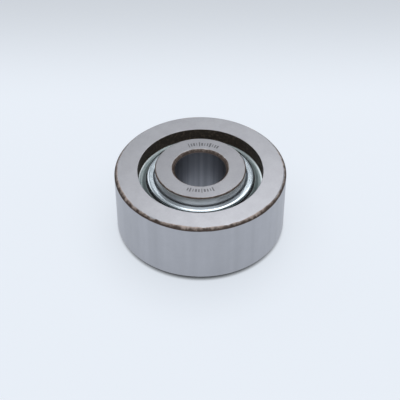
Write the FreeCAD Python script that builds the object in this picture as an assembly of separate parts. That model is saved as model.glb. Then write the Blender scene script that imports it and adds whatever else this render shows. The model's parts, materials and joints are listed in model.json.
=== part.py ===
import FreeCAD, Part
import math
import os

# Yoke-type cam follower: a sealed deep-groove ball bearing with an extra thick, wide
# outer ring that rolls on a cam or a rail, and an inner ring that is clamped on a pin.
# Millimetres. The origin is the centre of the bearing, +Z runs along the bore, and
# every section below is given as (radius, height) for the upper half, z > 0.

# rings
bore_radius = 9.525              # 3/4 in pin
tread_radius = 31.75             # 2 1/2 in tread
outer_half_width = 12.5
inner_proud = 1.0                # the inner ring stands proud of the outer ring on both sides
inner_half_width = outer_half_width + inner_proud
tread_chamfer = 1.05
bore_chamfer = 1.06
inner_land_radius = 16.86
inner_edge_chamfer = 0.45
recess_radius = 23.2             # counterbore that the seal sits in
recess_edge_chamfer = 0.1
outer_land_radius = 22.1

# balls and raceways
ball_count = 9
ball_radius = 7.9375 / 2         # 5/16 in balls
pitch_radius = 19.52
ball_clearance = 0.04            # on each side of a ball
groove_radius = 0.52 * 2 * ball_radius

# ribbon cage, pressed from sheet in two halves and riveted between the balls
cage_thickness = 0.8
cage_inner_radius = 18.0
cage_outer_radius = 21.0
pocket_clearance = 0.12
rivet_radius = 0.7
rivet_head_radius = 1.2
rivet_head_height = 0.5

# seal groove at the foot of the recess, its lip, and the shoulder that the seal rests on
seal_groove_radius = 24.05
seal_shoulder_height = 6.17
lip_radius = 23.0
lip_foot_height = 7.4
lip_edge_height = 7.67
lip_top_height = 7.97

# seal plate: rim curled into the groove, flange dished inwards, steep slope up to its edge
plate_thickness = 0.4
plate_rim_radius = seal_groove_radius - plate_thickness / 2
plate_rim_height = seal_shoulder_height + plate_thickness / 2
plate_path = [
    (22.95, plate_rim_height, 0),
    (plate_rim_radius, plate_rim_height, 0.22),
    (plate_rim_radius, 7.22, 0.21),
    (21.3, 6.5, 0.95),
    (20.25, 8.2, 0),
]

# flinger: sleeve pressed on the inner ring, joggled neck, flat top and a skirt turned down
flinger_thickness = 0.4
flinger_outer_radius = 19.87
flinger_sleeve_radius = inner_land_radius + flinger_thickness / 2
flinger_skirt_radius = flinger_outer_radius - flinger_thickness / 2
flinger_path = [
    (flinger_sleeve_radius, 7.9, 0),
    (flinger_sleeve_radius, 8.3, 0.29),
    (17.5, 8.75, 0.29),
    (17.5, 9.68, 0.22),
    (18.95, 9.68, 1.5),
    (flinger_skirt_radius, 9.53, 0.26),
    (flinger_skirt_radius, 8.2, 0),
]

# rubber moulded round the inner edge of the seal plate: bead, leg, web and lip
rubber_clearance = 0.04
rubber_tip_radius = inner_land_radius + rubber_clearance
rubber_leg_radius = 20.0
rubber_bead_radius = 20.27
rubber_top_height = 8.65
rubber_web_height = 7.65
rubber_section = [
    (20.81, 7.3),
    (rubber_bead_radius, 8.15),
    (rubber_bead_radius, rubber_top_height),
    (rubber_leg_radius, rubber_top_height),
    (rubber_leg_radius, rubber_web_height),
    (17.35, rubber_web_height),
    (17.35, 7.05),
    (rubber_tip_radius, 6.55),
    (rubber_tip_radius, 6.36),
    (rubber_tip_radius + 0.1, 6.3),
    (17.8, 6.8),
    (19.4, 6.9),
    (20.2, 7.3),
]

z_axis = FreeCAD.Vector(0, 0, 1)
centre = FreeCAD.Vector(0, 0, 0)


def at(radius, height):
    return FreeCAD.Vector(radius, 0, height)


def chain(points):
    """Straight edges from each point to the next."""
    return [Part.makeLine(first, second) for first, second in zip(points, points[1:])]


def turned(edges):
    """Solid of revolution about the bore axis from a closed section."""
    section = Part.Face(Part.Wire(Part.__sortEdges__(edges)))
    return section.revolve(centre, z_axis, 360)


def mirrored(points):
    """The same points below the mid-plane, in the opposite order."""
    return [at(point.x, -point.z) for point in reversed(points)]


def ring(upper_points, race_bottom_radius):
    """Ring symmetric about the mid-plane whose section starts and ends at the raceway."""
    lower_points = mirrored(upper_points)
    race = Part.Arc(lower_points[-1], at(race_bottom_radius, 0), upper_points[0]).toShape()
    back = Part.makeLine(upper_points[-1], lower_points[0])
    return turned([race, back] + chain(upper_points) + chain(lower_points))


def race_half_width(land_radius, race_centre_radius):
    return math.sqrt(groove_radius ** 2 - (land_radius - race_centre_radius) ** 2)


def outer_ring():
    race_bottom = pitch_radius + ball_radius + ball_clearance
    race_edge = race_half_width(outer_land_radius, race_bottom - groove_radius)
    return ring([
        at(outer_land_radius, race_edge),
        at(outer_land_radius, seal_shoulder_height),
        at(seal_groove_radius, seal_shoulder_height),
        at(seal_groove_radius, lip_foot_height),
        at(lip_radius, lip_foot_height),
        at(lip_radius, lip_edge_height),
        at(recess_radius, lip_top_height),
        at(recess_radius, outer_half_width - recess_edge_chamfer),
        at(recess_radius + recess_edge_chamfer, outer_half_width),
        at(tread_radius - tread_chamfer, outer_half_width),
        at(tread_radius, outer_half_width - tread_chamfer),
    ], race_bottom)


def inner_ring():
    race_bottom = pitch_radius - ball_radius - ball_clearance
    race_edge = race_half_width(inner_land_radius, race_bottom + groove_radius)
    return ring([
        at(inner_land_radius, race_edge),
        at(inner_land_radius, inner_half_width - inner_edge_chamfer),
        at(inner_land_radius - inner_edge_chamfer, inner_half_width),
        at(bore_radius + bore_chamfer, inner_half_width),
        at(bore_radius, inner_half_width - bore_chamfer),
    ], race_bottom)


def ball_centre(index, offset=0.0):
    angle = 2 * math.pi * (index + offset) / ball_count
    return FreeCAD.Vector(pitch_radius * math.cos(angle), pitch_radius * math.sin(angle), 0)


def tube(inner_radius, outer_radius, height):
    return Part.makeCylinder(outer_radius, height).cut(Part.makeCylinder(inner_radius, height))


def upper_cage():
    """Flat ribbon with a round pocket over each ball, drilled for the rivets."""
    pocket_radius = ball_radius + pocket_clearance
    dome_radius = pocket_radius + cage_thickness
    domes = [Part.makeSphere(dome_radius, ball_centre(i)) for i in range(ball_count)]
    pockets = [Part.makeSphere(pocket_radius, ball_centre(i)) for i in range(ball_count)]
    holes = [Part.makeCylinder(rivet_radius, cage_thickness, ball_centre(i, 0.5))
             for i in range(ball_count)]
    band = tube(cage_inner_radius, cage_outer_radius, dome_radius)
    ribbon = tube(cage_inner_radius, cage_outer_radius, cage_thickness)
    return ribbon.multiFuse([dome.common(band) for dome in domes]).cut(pockets + holes)


def rivets():
    """One round-headed rivet half way between each pair of balls."""
    cap_radius = (rivet_head_radius ** 2 + rivet_head_height ** 2) / (2 * rivet_head_height)
    cap_centre = at(0, cage_thickness + rivet_head_height - cap_radius)
    cap_stock = Part.makeCylinder(rivet_head_radius, rivet_head_height, at(0, cage_thickness))
    upper_head = Part.makeSphere(cap_radius, cap_centre).common(cap_stock)
    shank = Part.makeCylinder(rivet_radius, 2 * cage_thickness, at(0, -cage_thickness))
    rivet = shank.multiFuse([upper_head, upper_head.mirror(centre, z_axis)]).removeSplitter()
    return Part.Compound([rivet.translated(ball_centre(i, 0.5)) for i in range(ball_count)])


def left_of(direction):
    """Unit vector 90 degrees to the left of a direction in the section plane."""
    return FreeCAD.Vector(-direction.z, 0, direction.x)


def sheet_side(path, offset):
    """One side of a bent sheet: edges offset to the left of the path, with round bends.

    Each corner of the path is (radius, height, bend radius at mid thickness).
    """
    corners = [at(radius, height) for radius, height, bend in path]
    start = corners[0] + left_of((corners[1] - corners[0]).normalize()) * offset
    edges = []
    for before, corner, after, (_, _, bend) in zip(corners, corners[1:], corners[2:], path[1:]):
        arriving = (corner - before).normalize()
        leaving = (after - corner).normalize()
        turn = arriving.getAngle(leaving)
        side = 1 if left_of(arriving).dot(leaving) > 0 else -1
        setback = bend * math.tan(turn / 2)
        bend_centre = corner - arriving * setback + left_of(arriving) * (side * bend)
        arc_start = corner - arriving * setback + left_of(arriving) * offset
        arc_end = corner + leaving * setback + left_of(leaving) * offset
        arc_middle = bend_centre + (corner - bend_centre).normalize() * (bend - side * offset)
        edges.append(Part.makeLine(start, arc_start))
        edges.append(Part.Arc(arc_start, arc_middle, arc_end).toShape())
        start = arc_end
    end = corners[-1] + left_of((corners[-1] - corners[-2]).normalize()) * offset
    edges.append(Part.makeLine(start, end))
    return edges


def pressed_sheet(path, thickness):
    """Ring pressed from sheet, given the path of its mid thickness."""
    left = sheet_side(path, thickness / 2)
    right = sheet_side(path, -thickness / 2)
    first_cap = Part.makeLine(left[0].firstVertex().Point, right[0].firstVertex().Point)
    last_cap = Part.makeLine(left[-1].lastVertex().Point, right[-1].lastVertex().Point)
    return turned(left + right + [first_cap, last_cap])


def seal_rubber(plate):
    """The rubber's outline, with the plate that it is moulded on taken out of it."""
    points = [at(radius, height) for radius, height in rubber_section]
    return turned(chain(points + points[:1])).cut(plate)


def both_sides(name, upper):
    """The upper piece and its mirror image below the mid-plane."""
    return {"upper_" + name: upper, "lower_" + name: upper.mirror(centre, z_axis)}


def all_parts():
    cage = both_sides("cage", upper_cage())
    plate = pressed_sheet(plate_path, plate_thickness)
    parts = {
        "outer_ring": outer_ring(),
        "inner_ring": inner_ring(),
        "cage_upper": cage["upper_cage"],
        "cage_lower": cage["lower_cage"],
        "cage_rivets": rivets(),
    }
    for i in range(ball_count):
        parts["ball_%d" % (i + 1)] = Part.makeSphere(ball_radius, ball_centre(i))
    parts.update(both_sides("seal_plate", plate))
    parts.update(both_sides("flinger", pressed_sheet(flinger_path, flinger_thickness)))
    parts.update(both_sides("seal_lip", seal_rubber(plate)))
    return parts


os.makedirs("parts", exist_ok=True)
for name, shape in all_parts().items():
    shape.exportStep("parts/%s.step" % name)
    print("%-18s %9.2f mm3  valid %s" % (name, shape.Volume, shape.isValid()))
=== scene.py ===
import json
import math

import bmesh
import bpy
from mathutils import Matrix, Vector


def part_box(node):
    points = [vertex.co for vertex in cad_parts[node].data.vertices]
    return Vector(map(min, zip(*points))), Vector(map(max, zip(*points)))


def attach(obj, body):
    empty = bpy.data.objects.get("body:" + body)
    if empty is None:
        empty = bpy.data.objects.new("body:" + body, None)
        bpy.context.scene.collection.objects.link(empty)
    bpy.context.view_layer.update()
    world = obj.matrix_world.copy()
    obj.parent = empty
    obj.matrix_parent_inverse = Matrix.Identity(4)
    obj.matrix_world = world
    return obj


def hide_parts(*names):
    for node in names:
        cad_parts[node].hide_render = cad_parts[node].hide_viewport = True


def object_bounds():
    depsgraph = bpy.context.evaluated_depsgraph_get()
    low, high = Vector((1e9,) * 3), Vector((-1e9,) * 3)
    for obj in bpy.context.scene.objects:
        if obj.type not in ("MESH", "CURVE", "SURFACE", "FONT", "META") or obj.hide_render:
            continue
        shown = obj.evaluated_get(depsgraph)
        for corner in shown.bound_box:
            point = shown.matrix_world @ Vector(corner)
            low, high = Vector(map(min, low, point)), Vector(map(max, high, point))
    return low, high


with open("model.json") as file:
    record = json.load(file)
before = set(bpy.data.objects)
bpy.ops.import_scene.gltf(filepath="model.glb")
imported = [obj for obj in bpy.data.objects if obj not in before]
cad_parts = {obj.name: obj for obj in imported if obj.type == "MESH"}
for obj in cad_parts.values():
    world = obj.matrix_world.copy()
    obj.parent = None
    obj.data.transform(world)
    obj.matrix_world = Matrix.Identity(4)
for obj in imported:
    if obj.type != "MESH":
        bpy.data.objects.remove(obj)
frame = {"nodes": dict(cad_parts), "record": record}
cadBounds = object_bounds()

mm = 0.001


# sizes read off the frame
def reach(node):
    low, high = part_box(node)
    return high.x, low.z, high.z


treadRadius, _, outerTop = reach("outer_ring")
landRadius, _, innerTop = reach("inner_ring")
rimRadius, shoulderHeight, _ = reach("upper_seal_plate")
flingerRadius, flingerFoot, flingerTop = reach("upper_flinger")
boreRadius = frame["record"]["mounts"][0]["dims"]["r_mm"] * mm
floorHeight = cadBounds[0].z


# every piece is spun from corners of (radius, height, cut back, segments)
turning = {
    "steps": 256,
    "holdFrom": 0.9 * mm,        # straights longer than this are held flat
    "holdAt": 0.12 * mm,
    "weld": 0.001 * mm,
    "sharpAngle": math.radians(34),
    "raceTrim": 0.02 * mm,
    "raceSteps": 24,
}


def sectionWire(corners, closed):
    bm = bmesh.new()
    verts = [bm.verts.new((radius, 0, height)) for radius, height, _, _ in corners]
    for pair in zip(verts, verts[1:]):
        bm.edges.new(pair)
    if closed:
        bm.edges.new((verts[-1], verts[0]))
    for vert, (_, _, cut, rounds) in zip(verts, corners):
        if cut:
            bmesh.ops.bevel(bm, geom=[vert], offset=cut, offset_type="OFFSET", segments=rounds,
                            profile=0.5, affect="VERTICES", material=-1)
    return bm


def holdFlats(bm):
    # a point close to each end of a long straight keeps the shading flat between them
    for edge in bm.edges[:]:
        length = edge.calc_length()
        if length > turning["holdFrom"]:
            near, far = edge.verts
            _, held = bmesh.utils.edge_split(edge, near, turning["holdAt"] / length)
            rest = next(e for e in held.link_edges if far in e.verts)
            bmesh.utils.edge_split(rest, far, turning["holdAt"] / rest.calc_length())


def spunPiece(name, corners, closed=True):
    bm = sectionWire(corners, closed)
    holdFlats(bm)
    bmesh.ops.spin(bm, geom=bm.verts[:] + bm.edges[:], cent=(0, 0, 0), axis=(0, 0, 1),
                   angle=2 * math.pi, steps=turning["steps"], use_merge=True)
    bmesh.ops.remove_doubles(bm, verts=bm.verts[:], dist=turning["weld"])
    bmesh.ops.recalc_face_normals(bm, faces=bm.faces[:])
    return pieceFrom(name, bm)


def pieceFrom(name, bm):
    mesh = bpy.data.meshes.new(name)
    bm.to_mesh(mesh)
    bm.free()
    mesh.shade_smooth()
    mesh.set_sharp_from_angle(angle=turning["sharpAngle"])
    piece = bpy.data.objects.new(name, mesh)
    bpy.context.scene.collection.objects.link(piece)
    return piece


def onSide(side, corners):
    return [(radius, side * height, cut, rounds) for radius, height, cut, rounds in corners]


def bothEnds(upper):
    # a section above the mid-plane and its reflection below, as one closed outline
    return upper + onSide(-1, reversed(upper))


def raceway(shape, land):
    # one corner at the mid-plane, cut back to the raceway's edges so that it becomes an arc
    run = math.hypot(shape["raceCorner"] - land, shape["raceEdge"])
    return [(shape["raceCorner"], 0, run - turning["raceTrim"], turning["raceSteps"])]


outerRingShape = {
    "chamfer": 1.05 * mm,
    "landRadius": 22.1 * mm,
    "recessRadius": 23.2 * mm,
    "recessRound": (0.1 * mm, 4),
    "lipRadius": 23.0 * mm,
    "lip": (1.23 * mm, 1.5 * mm, 1.8 * mm),      # foot, edge and top above the shoulder
    "raceEdge": 3.08 * mm,       # half the width of the raceway at its edge
    "raceCorner": 25.62 * mm,    # where the tangents at the raceway's edges meet
    "edgeRound": (0.09 * mm, 3),
}


def makeOuterRing():
    s = outerRingShape
    edge = s["edgeRound"]
    lipFoot, lipEdge, lipTop = [shoulderHeight + rise for rise in s["lip"]]
    upper = [
        (s["landRadius"], s["raceEdge"], *edge),
        (s["landRadius"], shoulderHeight, *edge),
        (rimRadius, shoulderHeight, 0, 0),
        (rimRadius, lipFoot, 0, 0),
        (s["lipRadius"], lipFoot, *edge),
        (s["lipRadius"], lipEdge, *edge),
        (s["recessRadius"], lipTop, *edge),
        (s["recessRadius"], outerTop, *s["recessRound"]),
        (treadRadius - s["chamfer"], outerTop, *edge),
        (treadRadius, outerTop - s["chamfer"], *edge),
    ]
    return spunPiece("outerRing", raceway(s, s["landRadius"]) + bothEnds(upper))


innerRingShape = {
    "boreChamfer": 1.06 * mm,
    "edgeChamfer": 0.45 * mm,
    "raceEdge": 3.01 * mm,
    "raceCorner": 13.57 * mm,
    "edgeRound": (0.07 * mm, 3),
}


def makeInnerRing():
    s = innerRingShape
    edge = s["edgeRound"]
    upper = [
        (landRadius, s["raceEdge"], *edge),
        (landRadius, innerTop - s["edgeChamfer"], *edge),
        (landRadius - s["edgeChamfer"], innerTop, *edge),
        (boreRadius + s["boreChamfer"], innerTop, *edge),
        (boreRadius, innerTop - s["boreChamfer"], *edge),
    ]
    return spunPiece("innerRing", raceway(s, landRadius) + bothEnds(upper))


def pressedRing(name, side, path, shape):
    # a ring of sheet, whose path runs along the middle of its thickness
    piece = spunPiece(name, onSide(side, path), closed=False)
    wall = piece.modifiers.new("sheet", "SOLIDIFY")
    wall.thickness = shape["thickness"]
    wall.offset = 0
    wall.use_even_offset = True
    edges = piece.modifiers.new("rims", "BEVEL")
    edges.width = shape["rimRound"]
    edges.segments = 2
    edges.limit_method = "ANGLE"
    edges.angle_limit = math.radians(60)
    edges.harden_normals = False
    return piece


sealPlateShape = {
    "thickness": 0.4 * mm,
    "rimRound": 0.12 * mm,
    "curlEnd": 22.95 * mm,
    "curlHeight": 0.85 * mm,     # from the curl's foot to the start of the flange
    "curlBend": (0.22 * mm, 5),
    "topBend": (0.28 * mm, 6),
    "rimTop": (22.98 * mm, 7.13 * mm, 0.2 * mm, 5),      # the steep edge that shows beside the lip
    "rimFoot": (22.3 * mm, 6.77 * mm, 0.25 * mm, 5),
    "flangeFoot": (21.3 * mm, 6.5 * mm, 0.8 * mm, 10),
    "slopeTop": (20.25 * mm, 8.2 * mm, 0, 0),
}


def makeSealPlate(name, side):
    s = sealPlateShape
    half = s["thickness"] / 2
    curl = rimRadius - half
    foot = shoulderHeight + half
    path = [
        (s["curlEnd"], foot, 0, 0),
        (curl, foot, *s["curlBend"]),
        (curl, foot + s["curlHeight"], *s["topBend"]),
        s["rimTop"],
        s["rimFoot"],
        s["flangeFoot"],
        s["slopeTop"],
    ]
    return pressedRing(name, side, path, s)


flingerShape = {
    "thickness": 0.4 * mm,
    "rimRound": 0.06 * mm,
    "joggle": (8.3 * mm, 8.75 * mm),
    "joggleBend": (0.12 * mm, 4),
    "neckRadius": 17.5 * mm,
    "neckBend": (0.22 * mm, 6),
    "domeStart": 19.05 * mm,
    "domeBend": (0.21 * mm, 5),
    "domeFoot": 9.5 * mm,
    "skirtBend": (0.24 * mm, 8),
    "skirtFoot": 8.2 * mm,
}


def makeFlinger(name, side):
    s = flingerShape
    half = s["thickness"] / 2
    sleeve = landRadius + half
    top = flingerTop - half
    skirt = flingerRadius - half
    path = [
        (sleeve, flingerFoot, 0, 0),
        (sleeve, s["joggle"][0], *s["joggleBend"]),
        (s["neckRadius"], s["joggle"][1], *s["joggleBend"]),
        (s["neckRadius"], top, *s["neckBend"]),
        (s["domeStart"], top, *s["domeBend"]),
        (skirt, s["domeFoot"], *s["skirtBend"]),
        (skirt, s["skirtFoot"], 0, 0),
    ]
    return pressedRing(name, side, path, s)


# moulded round the plate's inner edge, with a lip that runs on the inner ring
sealRubberShape = {
    "bead": [
        (20.81 * mm, 7.3 * mm, 0, 0),
        (20.27 * mm, 8.15 * mm, 0, 0),
        (20.27 * mm, 8.65 * mm, 0.12 * mm, 5),
        (20.0 * mm, 8.65 * mm, 0.12 * mm, 5),
    ],
    "web": [
        (20.0 * mm, 7.65 * mm, 0.24 * mm, 6),
        (17.35 * mm, 7.65 * mm, 0.18 * mm, 5),
        (17.35 * mm, 7.05 * mm, 0.06 * mm, 4),
    ],
    "lip": [
        (landRadius + 0.04 * mm, 6.55 * mm, 0.06 * mm, 3),
        (landRadius + 0.04 * mm, 6.36 * mm, 0.02 * mm, 3),
        (landRadius + 0.14 * mm, 6.3 * mm, 0.03 * mm, 3),
    ],
    "underside": [
        (17.8 * mm, 6.8 * mm, 0.24 * mm, 5),
        (19.4 * mm, 6.9 * mm, 0.24 * mm, 5),
        (20.2 * mm, 7.3 * mm, 0.12 * mm, 4),
    ],
}


def makeSealRubber(name, side):
    s = sealRubberShape
    return spunPiece(name, onSide(side, s["bead"] + s["web"] + s["lip"] + s["underside"]))


# node helpers
def feed(tree, socket, value):
    if isinstance(value, bpy.types.NodeSocket):
        tree.links.new(value, socket)
    else:
        socket.default_value = value


def calc(tree, operation, *values):
    node = tree.nodes.new("ShaderNodeMath")
    node.operation = operation
    for socket, value in zip(node.inputs, values):
        feed(tree, socket, value)
    return node.outputs[0]


def plus(tree, first, second):
    return calc(tree, "ADD", first, second)


def minus(tree, first, second):
    return calc(tree, "SUBTRACT", first, second)


def times(tree, first, second):
    return calc(tree, "MULTIPLY", first, second)


def apart(tree, first, second):
    return calc(tree, "ABSOLUTE", minus(tree, first, second))


def vectorCalc(tree, operation, vector):
    node = tree.nodes.new("ShaderNodeVectorMath")
    node.operation = operation
    tree.links.new(vector, node.inputs[0])
    return node


def split(tree, vector):
    node = tree.nodes.new("ShaderNodeSeparateXYZ")
    tree.links.new(vector, node.inputs[0])
    return node.outputs


def join(tree, *parts):
    node = tree.nodes.new("ShaderNodeCombineXYZ")
    for socket, part in zip(node.inputs, parts):
        tree.links.new(part, socket)
    return node.outputs[0]


def ramp(tree, value, low, high, toLow=0.0, toHigh=1.0):
    node = tree.nodes.new("ShaderNodeMapRange")
    node.interpolation_type = "SMOOTHSTEP"
    for socket, given in zip(node.inputs, (value, low, high, toLow, toHigh)):
        feed(tree, socket, given)
    return node.outputs[0]


def mixColour(tree, factor, first, second):
    node = tree.nodes.new("ShaderNodeMix")
    node.data_type = "RGBA"
    feed(tree, node.inputs["Factor"], factor)
    for socket, value in zip((node.inputs[6], node.inputs[7]), (first, second)):
        feed(tree, socket, value if isinstance(value, bpy.types.NodeSocket) else (*value, 1))
    return node.outputs[2]


def mixValue(tree, factor, first, second):
    node = tree.nodes.new("ShaderNodeMix")
    for socket, value in ((node.inputs[0], factor), (node.inputs[2], first), (node.inputs[3], second)):
        feed(tree, socket, value)
    return node.outputs[0]


def shaded(tree, pattern, spread, shades, most=1.0):
    # the light shade where the pattern is high and the dark one where it is low
    light, dark = shades
    return mixColour(tree, ramp(tree, pattern, *spread, 0.0, most), dark, light)


def noise(tree, vector, scale, detail, rough):
    node = tree.nodes.new("ShaderNodeTexNoise")
    node.noise_dimensions = "3D"
    for socketName, value in (("Vector", vector), ("Scale", scale), ("Detail", detail), ("Roughness", rough)):
        feed(tree, node.inputs[socketName], value)
    return node.outputs["Fac"]


def ringPlace(tree):
    # radius, height off the mid-plane, and the unit direction from the axis
    point = tree.nodes.new("ShaderNodeTexCoord").outputs["Object"]
    parts = split(tree, point)
    across = join(tree, parts[0], parts[1])
    return {
        "point": point,
        "radius": vectorCalc(tree, "LENGTH", across).outputs["Value"],
        "unit": vectorCalc(tree, "NORMALIZE", across).outputs[0],
        "height": calc(tree, "ABSOLUTE", parts[2]),
        "y": parts[1],
        "z": parts[2],
    }


def newGroup(name, inputs, outputs):
    tree = bpy.data.node_groups.new(name, "ShaderNodeTree")
    for socketName, value in inputs.items():
        socket = tree.interface.new_socket(socketName, in_out="INPUT", socket_type="NodeSocketFloat")
        socket.default_value = value
    for socketName in outputs:
        tree.interface.new_socket(socketName, in_out="OUTPUT", socket_type="NodeSocketFloat")
    return tree, tree.nodes.new("NodeGroupInput").outputs, tree.nodes.new("NodeGroupOutput").inputs


def lathLinesAndReflectionBands():
    # grinding and turning lines that follow the ring round, on faces and on walls alike; at a coarse scale the
    # same pattern gives painted reflection bands on the tread and in the bore
    tree, given, out = newGroup("lathLinesAndReflectionBands", {"Across": 9000.0, "Around": 3.0, "Detail": 3.0}, ["Lines"])
    where = ringPlace(tree)
    stretched = vectorCalc(tree, "SCALE", where["unit"])
    tree.links.new(given["Around"], stretched.inputs["Scale"])
    parts = split(tree, stretched.outputs[0])
    profile = times(tree, plus(tree, where["radius"], where["height"]), given["Across"])
    lines = noise(tree, join(tree, parts[0], parts[1], profile), 1.0, given["Detail"], 0.6)
    tree.links.new(lines, out["Lines"])
    return tree


scaleBorder = {
    "soft": 0.08 * mm,
    "ends": 0.7,                 # how fast the scale ends past the chamfer's edges
    "upper": (-0.9, 0.3, 0.25, 1.0),     # more ragged towards the ground face than towards the wall
    "coarse": {"scale": 380.0, "detail": 4.0, "rough": 0.65, "middle": 0.5, "amount": 4.0},
    "wander": {"scale": 1.3, "detail": 1.0, "rough": 0.5, "middle": 0.52, "amount": 6.0},
}


def raggedness(tree, vector, grain):
    found = noise(tree, vector, grain["scale"], grain["detail"], grain["rough"])
    return times(tree, minus(tree, found, grain["middle"]), grain["amount"])


def scaleEdge():
    # the heat scale left on a chamfer, with a ragged border where the grinding stopped
    tree, given, out = newGroup("scaleEdge", {"Edge Radius": 0.03, "Edge Height": 0.0125, "Chamfer": 0.001,
                                              "Outwards": 1.0, "Ragged": 0.0003}, ["Scale", "Across"])
    look = scaleBorder
    where = ringPlace(tree)
    inward = times(tree, minus(tree, given["Edge Radius"], where["radius"]), given["Outwards"])
    down = minus(tree, given["Edge Height"], where["height"])
    past = minus(tree, plus(tree, inward, down), given["Chamfer"])
    beside = minus(tree, given["Chamfer"], apart(tree, inward, down))
    off = minus(tree, past, times(tree, beside, look["ends"]))
    across = calc(tree, "DIVIDE", minus(tree, inward, down), given["Chamfer"])
    tear = plus(tree, raggedness(tree, where["unit"], look["wander"]),
                raggedness(tree, where["point"], look["coarse"]))
    reachOut = times(tree, given["Ragged"], ramp(tree, across, *look["upper"]))
    torn = plus(tree, off, times(tree, tear, reachOut))
    tree.links.new(ramp(tree, torn, look["soft"], -look["soft"]), out["Scale"])
    tree.links.new(across, out["Across"])
    return tree


tickShape = {
    "endFade": 0.006,            # radians, at the two ends of the arc
    "startTurn": 7.0,            # radians, added so that no angle is below zero
    "widths": (0.16, 0.34),      # half a tick's width, as a part of the spacing
    "widthOrder": (5.0, 3.0),    # ticks of three widths, in a mixed order
    "sideFade": 0.05,
    "lengths": (0.5, 0.36),      # every fourth tick is longer
    "longEvery": 4.0,
    "endSoft": 0.05 * mm,
    "depth": (0.1 * mm, 0.02 * mm),      # how far under the face the ink stops
}


def ringAngle(tree, where, facing):
    turn = tree.nodes.new("ShaderNodeVectorRotate")
    turn.rotation_type = "Z_AXIS"
    tree.links.new(where["unit"], turn.inputs["Vector"])
    tree.links.new(facing, turn.inputs["Angle"])
    parts = split(tree, turn.outputs[0])
    return calc(tree, "ARCTAN2", parts[1], parts[0])


def etchedMarks():
    # a generic arc of short ticks, etched on a face
    tree, given, out = newGroup("etchedMarks", {"Radius": 0.0135, "Length": 0.002, "Facing": 0.0,
                                                "Half Span": 0.4, "Ticks": 60.0, "Face": 0.0135}, ["Ink"])
    look = tickShape
    where = ringPlace(tree)
    angle = ringAngle(tree, where, given["Facing"])
    inArc = ramp(tree, calc(tree, "ABSOLUTE", angle), given["Half Span"],
                 minus(tree, given["Half Span"], look["endFade"]))
    count = times(tree, plus(tree, angle, look["startTurn"]), given["Ticks"])
    every = calc(tree, "FLOOR", count)
    step, cycle = look["widthOrder"]
    order = calc(tree, "MODULO", times(tree, every, step), cycle)
    width = ramp(tree, order, 0.0, 2.0, *look["widths"])
    beat = apart(tree, calc(tree, "FRACT", count), 0.5)
    tick = ramp(tree, minus(tree, beat, width), look["sideFade"], -look["sideFade"])
    turnOfLong = calc(tree, "MODULO", every, look["longEvery"])
    length = times(tree, given["Length"], ramp(tree, turnOfLong, 0.4, 0.9, *look["lengths"]))
    offset = apart(tree, where["radius"], given["Radius"])
    band = ramp(tree, minus(tree, offset, length), look["endSoft"], -look["endSoft"])
    onTop = ramp(tree, minus(tree, given["Face"], where["z"]), *look["depth"])
    tree.links.new(times(tree, times(tree, inArc, tick), times(tree, band, onTop)), out["Ink"])
    return tree


patchLayers = {
    "large": {"detail": 3.0, "rough": 0.55, "share": 0.6},
    "small": {"detail": 3.0, "rough": 0.6, "share": 0.4, "finer": 7.0},
}


def blotches():
    # soft patches at two sizes, about a middle of one half
    tree, given, out = newGroup("blotches", {"Size": 0.004, "Contrast": 1.0}, ["Patch"])
    large, small = patchLayers["large"], patchLayers["small"]
    point = ringPlace(tree)["point"]
    scale = calc(tree, "DIVIDE", 1.0, given["Size"])
    coarse = noise(tree, point, scale, large["detail"], large["rough"])
    fine = noise(tree, point, times(tree, scale, small["finer"]), small["detail"], small["rough"])
    both = plus(tree, times(tree, coarse, large["share"]), times(tree, fine, small["share"]))
    spread = times(tree, minus(tree, both, 0.5), given["Contrast"])
    tree.links.new(plus(tree, spread, 0.5), out["Patch"])
    return tree


groups = {build.__name__: build() for build in (lathLinesAndReflectionBands, scaleEdge, etchedMarks, blotches)}


def place(tree, groupName, **values):
    node = tree.nodes.new("ShaderNodeGroup")
    node.node_tree = groups[groupName]
    for socketName, value in values.items():
        feed(tree, node.inputs[socketName.replace("_", " ")], value)
    outputs = list(node.outputs)
    return outputs[0] if len(outputs) == 1 else outputs


def newMaterial(name):
    material = bpy.data.materials.new(name)
    material.use_nodes = True
    tree = material.node_tree
    return material, tree, tree.nodes["Principled BSDF"]


def finish(tree, shader, colour, roughness, metallic):
    feed(tree, shader.inputs["Base Color"], colour)
    feed(tree, shader.inputs["Roughness"], roughness)
    feed(tree, shader.inputs["Metallic"], metallic)


def bump(tree, shader, height, distance):
    node = tree.nodes.new("ShaderNodeBump")
    feed(tree, node.inputs["Height"], height)
    node.inputs["Distance"].default_value = distance
    tree.links.new(node.outputs[0], shader.inputs["Normal"])


# shades are light and dark; a spread is the part of its pattern between the two
groundSteel = {
    "face": ((0.385, 0.387, 0.415), (0.345, 0.347, 0.373)),
    "faceSpread": (0.3, 0.7),
    "faceDepth": (0.02 * mm, 0.01 * mm),
    "patches": {"Size": 6 * mm, "Contrast": 1.0},
    "wall": ((0.46, 0.462, 0.49), (0.40, 0.403, 0.427)),
    "wallSpread": (0.25, 0.75),
    # painted reflections: soft bands round the tread
    "reflectionBands": {"Across": 20.0, "Around": 9.0, "Detail": 1.0},
    "reflectionBandShare": (0.6, 0.4),     # painted reflection bands round the tread, and patches
    # painted light: the land is lighter than the other ground steel, to make up for its dark reflections
    "land": (0.71, 0.7, 0.705),
    # painted shade: the bore is darker than the land, inside the hole, and its streaks are painted reflections
    "bore": ((0.295, 0.302, 0.33), (0.236, 0.242, 0.266)),
    "boreSpread": (0.35, 0.65),
    "boreReflectionStreaks": {"Across": 12.0, "Around": 8.0, "Detail": 2.0},
    "boreReach": (0.6 * mm, 0.3 * mm),
    "lines": {"Across": 9000.0, "Around": 3.0},
    "lineGloss": 0.15,
    "lineHeight": 0.35,
    "bump": 0.01 * mm,
    "roughness": {"face": 0.33, "wall": 0.4, "scale": 0.48, "recess": 0.6},
    "ink": (0.12, 0.12, 0.13),
}

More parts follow.
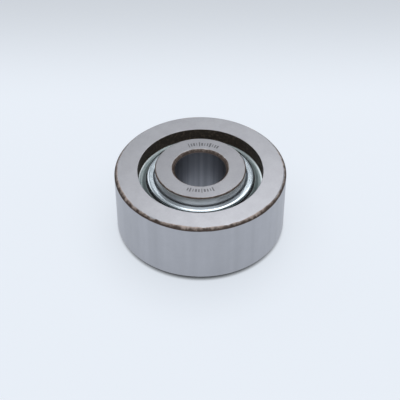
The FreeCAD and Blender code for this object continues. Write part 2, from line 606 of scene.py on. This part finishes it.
heatScale = {
    "chamfer": ((0.40, 0.325, 0.29), (0.038, 0.022, 0.015)),
    "chamferSpread": (0.4, 0.8),
    "mottle": {"Size": 1.3 * mm, "Contrast": 2.2},
    "streaks": {"Across": 900.0, "Around": 13.0, "Detail": 3.0},
    "streakShare": (0.35, 0.65),         # mottle and streaks
    "towardsFace": 0.2,          # how much lighter it gets towards the ground face
    "recess": ((0.1, 0.075, 0.053), (0.03, 0.021, 0.015)),
    "recessSpread": (0.45, 0.95),
    "recessCrust": {"Size": 1.1 * mm, "Contrast": 2.6},
    "recessBorder": 0.03 * mm,
    "metal": 0.25,
}


def faceColour(tree, patch, tone):
    shades = [[part * tone for part in colour] for colour in groundSteel["face"]]
    return shaded(tree, patch, groundSteel["faceSpread"], shades)


def wallColour(tree, where, patch, bore):
    # a tread with painted reflection bands, or a land painted lighter as painted light, with the bore inside
    # it painted darker as painted shade and streaked with painted reflections
    look = groundSteel
    if bore:
        outside, inside = [bore + far for far in look["boreReach"]]
        # painted shade and painted reflection streaks in the bore
        streaks = place(tree, "lathLinesAndReflectionBands", **look["boreReflectionStreaks"])
        paintedBoreShade = shaded(tree, streaks, look["boreSpread"], look["bore"])
        return mixColour(tree, ramp(tree, where["radius"], outside, inside), look["land"], paintedBoreShade)
    # the tread's soft bands are painted reflections, mixed with patches of tone
    reflectionBandPart, patchPart = look["reflectionBandShare"]
    reflectionBands = place(tree, "lathLinesAndReflectionBands", **look["reflectionBands"])
    tone = calc(tree, "MULTIPLY_ADD", reflectionBands, reflectionBandPart, times(tree, patch, patchPart))
    return shaded(tree, tone, look["wallSpread"], look["wall"])


def scaleMask(tree, chamfers):
    mask = across = None
    for chamfer in chamfers:
        found, along = place(tree, "scaleEdge", **chamfer)
        across = along if mask is None else mixValue(tree, found, across, along)
        mask = found if mask is None else calc(tree, "MAXIMUM", mask, found)
    return mask, across


def scaleColour(tree, mottle, across, rubbed):
    # rubbed streaks lie along the chamfer and lighten it towards the ground face
    look = heatScale
    mottlePart, streakPart = look["streakShare"]
    streaks = place(tree, "lathLinesAndReflectionBands", **look["streaks"])
    worn = calc(tree, "MULTIPLY_ADD", mottle, mottlePart, times(tree, streaks, streakPart))
    crest = plus(tree, worn, times(tree, across, look["towardsFace"]))
    return shaded(tree, crest, look["chamferSpread"], look["chamfer"], rubbed)


def makeGroundSteel(name, ring):
    look = groundSteel
    rough = look["roughness"]
    material, tree, shader = newMaterial(name)
    where = ringPlace(tree)
    lines = place(tree, "lathLinesAndReflectionBands", **look["lines"])
    patch = place(tree, "blotches", **look["patches"])
    mottle = place(tree, "blotches", **heatScale["mottle"])
    onFace = ramp(tree, where["height"], *[ring["top"] - depth for depth in look["faceDepth"]])
    mask, across = scaleMask(tree, ring["chamfers"])
    steel = mixColour(tree, onFace, wallColour(tree, where, patch, ring.get("bore")),
                      faceColour(tree, patch, ring["faceTone"]))
    colour = mixColour(tree, mask, steel, scaleColour(tree, mottle, across, ring["rubbed"]))
    ground = plus(tree, mixValue(tree, onFace, rough["wall"], rough["face"]),
                  times(tree, minus(tree, lines, 0.5), look["lineGloss"]))
    gloss = mixValue(tree, mask, ground, rough["scale"])
    metallic = ramp(tree, mask, 0.0, 1.0, 1.0, heatScale["metal"])
    if "recess" in ring:
        border = heatScale["recessBorder"]
        dark = ramp(tree, where["radius"], ring["recess"] + border, ring["recess"] - border)
        crust = place(tree, "blotches", **heatScale["recessCrust"])
        crusted = shaded(tree, crust, heatScale["recessSpread"], heatScale["recess"])
        colour = mixColour(tree, dark, colour, crusted)
        gloss = mixValue(tree, dark, gloss, rough["recess"])
        metallic = mixValue(tree, dark, metallic, heatScale["metal"])
    for mark in ring["marks"]:
        colour = mixColour(tree, place(tree, "etchedMarks", **mark), colour, look["ink"])
    finish(tree, shader, colour, gloss, metallic)
    relief = plus(tree, times(tree, lines, look["lineHeight"]), times(tree, mottle, mask))
    bump(tree, shader, relief, look["bump"])
    return material


platedSteel = {
    "patches": {"Size": 3 * mm, "Contrast": 1.6},
    "patchSpread": (0.25, 0.75),
    "lines": {"Across": 5000.0, "Around": 4.0},
    "lineSpread": (0.3, 0.7),
    "lineGloss": (-0.04, 0.06),
    "brightZinc": {"shades": ((0.5, 0.555, 0.6), (0.45, 0.505, 0.55)), "roughness": 0.16, "metal": 1.0},
    "sealZinc": {"shades": ((0.34, 0.395, 0.41), (0.25, 0.31, 0.315)), "roughness": 0.42, "metal": 0.45,
                 # the outer bend: glossier, and lighter in colour as a painted highlight
                 "glossAndPaintedHighlight": {"from": 22.25 * mm, "to": 22.65 * mm, "colour": (0.58, 0.64, 0.655),
                               "roughness": 0.28, "metal": 0.9}},
}


def makePlated(name):
    coat = platedSteel
    look = coat[name]
    material, tree, shader = newMaterial(name)
    patch = place(tree, "blotches", **coat["patches"])
    lines = place(tree, "lathLinesAndReflectionBands", **coat["lines"])
    colour = shaded(tree, patch, coat["patchSpread"], look["shades"])
    rough = ramp(tree, lines, *coat["lineSpread"], *[look["roughness"] + more for more in coat["lineGloss"]])
    metal = look["metal"]
    if "glossAndPaintedHighlight" in look:
        # the plate's outer bend is glossier, and lighter in colour as a painted highlight
        edge = look["glossAndPaintedHighlight"]
        bright = ramp(tree, ringPlace(tree)["radius"], edge["from"], edge["to"])
        colour = mixColour(tree, bright, colour, edge["colour"])
        rough = mixValue(tree, bright, rough, edge["roughness"])
        metal = mixValue(tree, bright, metal, edge["metal"])
    finish(tree, shader, colour, rough, metal)
    return material


# the pieces that are one finish all over, with a fine grain in it
plainFinishes = {
    "nitrile": {"shades": ((0.03, 0.03, 0.032), (0.012, 0.012, 0.013)), "roughness": (0.5, 0.68),
                "metal": 0.0, "grain": 1 * mm, "relief": 0.02 * mm},
    "ballSteel": {"shades": ((0.72, 0.73, 0.75), (0.62, 0.63, 0.65)), "roughness": (0.08, 0.18),
                  "metal": 1.0, "grain": 2 * mm, "relief": 0.004 * mm},
    "cageSteel": {"shades": ((0.48, 0.48, 0.49), (0.33, 0.33, 0.34)), "roughness": (0.3, 0.4),
                  "metal": 1.0, "grain": 1.2 * mm, "relief": 0.004 * mm},
}


def makePlain(name):
    look = plainFinishes[name]
    light, dark = look["shades"]
    material, tree, shader = newMaterial(name)
    grain = place(tree, "blotches", Size=look["grain"], Contrast=1.5)
    finish(tree, shader, mixColour(tree, grain, dark, light), ramp(tree, grain, 0.2, 0.8, *look["roughness"]),
           look["metal"])
    bump(tree, shader, grain, look["relief"])
    return material


rings = {
    "outer": {
        "top": outerTop,
        "faceTone": 1.0,
        "rubbed": 1.0,
        "recess": outerRingShape["recessRadius"] + outerRingShape["recessRound"][0] / 2,
        "chamfers": [
            {"Edge_Radius": treadRadius, "Edge_Height": outerTop, "Chamfer": outerRingShape["chamfer"],
             "Outwards": 1.0, "Ragged": 0.42 * mm},
        ],
        "marks": [],
    },
    "inner": {
        "top": innerTop,
        "faceTone": 0.78,
        "rubbed": 0.4,
        "bore": boreRadius,
        "chamfers": [
            {"Edge_Radius": landRadius, "Edge_Height": innerTop, "Chamfer": innerRingShape["edgeChamfer"],
             "Outwards": 1.0, "Ragged": 0.1 * mm},
            {"Edge_Radius": boreRadius, "Edge_Height": innerTop, "Chamfer": innerRingShape["boreChamfer"],
             "Outwards": -1.0, "Ragged": 0.14 * mm},
        ],
        "marks": [
            {"Radius": 13.1 * mm, "Length": 2.3 * mm, "Facing": 0.09 - math.pi / 2, "Half_Span": 0.45,
             "Ticks": 13.0, "Face": innerTop},
            {"Radius": 12.75 * mm, "Length": 2.1 * mm, "Facing": math.pi / 2, "Half_Span": 0.39,
             "Ticks": 12.0, "Face": innerTop},
        ],
    },
}

outerSteel = makeGroundSteel("outerSteel", rings["outer"])
innerSteel = makeGroundSteel("innerSteel", rings["inner"])
brightZinc = makePlated("brightZinc")
sealZinc = makePlated("sealZinc")
nitrile = makePlain("nitrile")
ballSteel = makePlain("ballSteel")
cageSteel = makePlain("cageSteel")
print("materials made")


def finishPiece(piece, material, node, body):
    piece.data.materials.append(material)
    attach(piece, body)
    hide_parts(node)


finishPiece(makeOuterRing(), outerSteel, "outer_ring", "outer")
finishPiece(makeInnerRing(), innerSteel, "inner_ring", "inner")
for end, side in (("upper", 1), ("lower", -1)):
    finishPiece(makeSealPlate(end + "SealPlate", side), sealZinc, end + "_seal_plate", "outer")
    finishPiece(makeFlinger(end + "Flinger", side), brightZinc, end + "_flinger", "inner")
    finishPiece(makeSealRubber(end + "SealRubber", side), nitrile, end + "_seal_lip", "outer")
print("rings, seals and flingers made")

carriedOver = {"ball": ballSteel, "cage": cageSteel}
for node, piece in frame["nodes"].items():
    material = carriedOver.get(node.split("_")[0])
    if material:
        piece.data.materials.clear()
        piece.data.materials.append(material)
print("balls and cage finished")


# floor, light and camera
studio = {
    "floorSize": 3.0,
    "floorRoughness": 0.7,
    "floorColour": (0.1, 0.104, 0.11),
    # the floor glows, as painted light
    "paintedFloorGlow": (0.68, 0.724, 0.786),
    "paintedFalloff": (0.07, 0.17, 0.735),         # painted shade: the sweep darkens from here, to here, to this much
    "paintedContactShadow": (1.9 * mm, 0.24, 0.92),   # painted shadow: how far the foot's shadow reaches, and where it is full and gone
    "paintedShadowAround": (22 * mm, 0.14),           # the softer painted shadow round the part
    "skyColour": (0.93, 0.97, 1.0),
    "skyStrength": 0.5,
    "panels": {
        # place, width and depth in metres, and how bright the panel looks
        "rear": {"at": (0.145, 0.55, 1.15), "size": (0.66, 0.9), "radiance": 2.6, "colour": (1.0, 1.0, 1.0)},
        "left": {"at": (-0.6, 0.65, 0.55), "size": (0.7, 0.45), "radiance": 1.1, "colour": (1.0, 1.0, 1.0)},
        "right": {"at": (0.9, 0.0, 0.4), "size": (0.5, 0.5), "radiance": 0.6, "colour": (1.0, 1.0, 1.0)},
        "front": {"at": (0.0, -0.55, 1.0), "size": (1.3, 1.1), "radiance": 1.1, "colour": (0.97, 0.99, 1.0)},
    },
}


# ambient occlusion, from which the floor's painted shadows are made
def openness(tree, distance):
    node = tree.nodes.new("ShaderNodeAmbientOcclusion")
    node.inputs["Distance"].default_value = distance
    return node.outputs["AO"]


def makeFloor():
    bm = bmesh.new()
    bmesh.ops.create_grid(bm, x_segments=2, y_segments=2, size=studio["floorSize"] / 2)
    bmesh.ops.translate(bm, verts=bm.verts[:], vec=(0, 0, floorHeight))
    floor = pieceFrom("floor", bm)
    material, tree, shader = newMaterial("paleSheet")
    # painted shade: the floor gets darker towards the back
    start, end, least = studio["paintedFalloff"]
    paintedFalloff = ramp(tree, ringPlace(tree)["y"], start, end, 1.0, least)
    # painted shadows: a tight one at the foot and a softer one round the part
    footReach, full, gone = studio["paintedContactShadow"]
    foot = ramp(tree, openness(tree, footReach), full, gone)
    softReach, loss = studio["paintedShadowAround"]
    soft = calc(tree, "MULTIPLY_ADD", openness(tree, softReach), loss, 1 - loss)
    lit = times(tree, times(tree, paintedFalloff, soft), foot)
    # the floor's colour and its glow, which is painted light, both take the painted shade and the painted
    # shadows
    for socketName, colour in (("Base Color", studio["floorColour"]), ("Emission Color", studio["paintedFloorGlow"])):
        tree.links.new(mixColour(tree, lit, (0, 0, 0), colour), shader.inputs[socketName])
    shader.inputs["Roughness"].default_value = studio["floorRoughness"]
    shader.inputs["Emission Strength"].default_value = 1.0
    floor.data.materials.append(material)


def makeLights():
    world = bpy.data.worlds.new("studio")
    world.use_nodes = True
    sky = world.node_tree.nodes["Background"]
    sky.inputs["Color"].default_value = (*studio["skyColour"], 1)
    sky.inputs["Strength"].default_value = studio["skyStrength"]
    bpy.context.scene.world = world
    for name, panel in studio["panels"].items():
        light = bpy.data.lights.new(name, "AREA")
        light.shape = "RECTANGLE"
        light.size, light.size_y = panel["size"]
        light.energy = panel["radiance"] * math.pi * light.size * light.size_y
        light.color = panel["colour"]
        item = bpy.data.objects.new(name, light)
        item.location = panel["at"]
        item.rotation_euler = (-Vector(panel["at"])).to_track_quat("-Z", "Y").to_euler()
        bpy.context.scene.collection.objects.link(item)


camera = {
    "lens": 99.0,
    "sensor": 36.0,
    "clipStart": 0.01,
    "distance": 405.9 * mm,      # from the middle of the outer ring's upper face
    "elevation": math.radians(41.39),
    "pitch": math.radians(42.99),
    "aside": -0.14 * mm,
}


def makeCamera():
    c = camera
    data = bpy.data.cameras.new("camera")
    data.lens = c["lens"]
    data.sensor_width = c["sensor"]
    data.clip_start = c["clipStart"]
    item = bpy.data.objects.new("camera", data)
    item.location = Vector((c["aside"], -c["distance"] * math.cos(c["elevation"]),
                            outerTop + c["distance"] * math.sin(c["elevation"])))
    item.rotation_euler = (math.pi / 2 - c["pitch"], 0, 0)
    bpy.context.scene.collection.objects.link(item)
    bpy.context.scene.camera = item


makeFloor()
makeLights()
makeCamera()
bpy.context.scene.view_settings.view_transform = "Standard"
print("studio made")
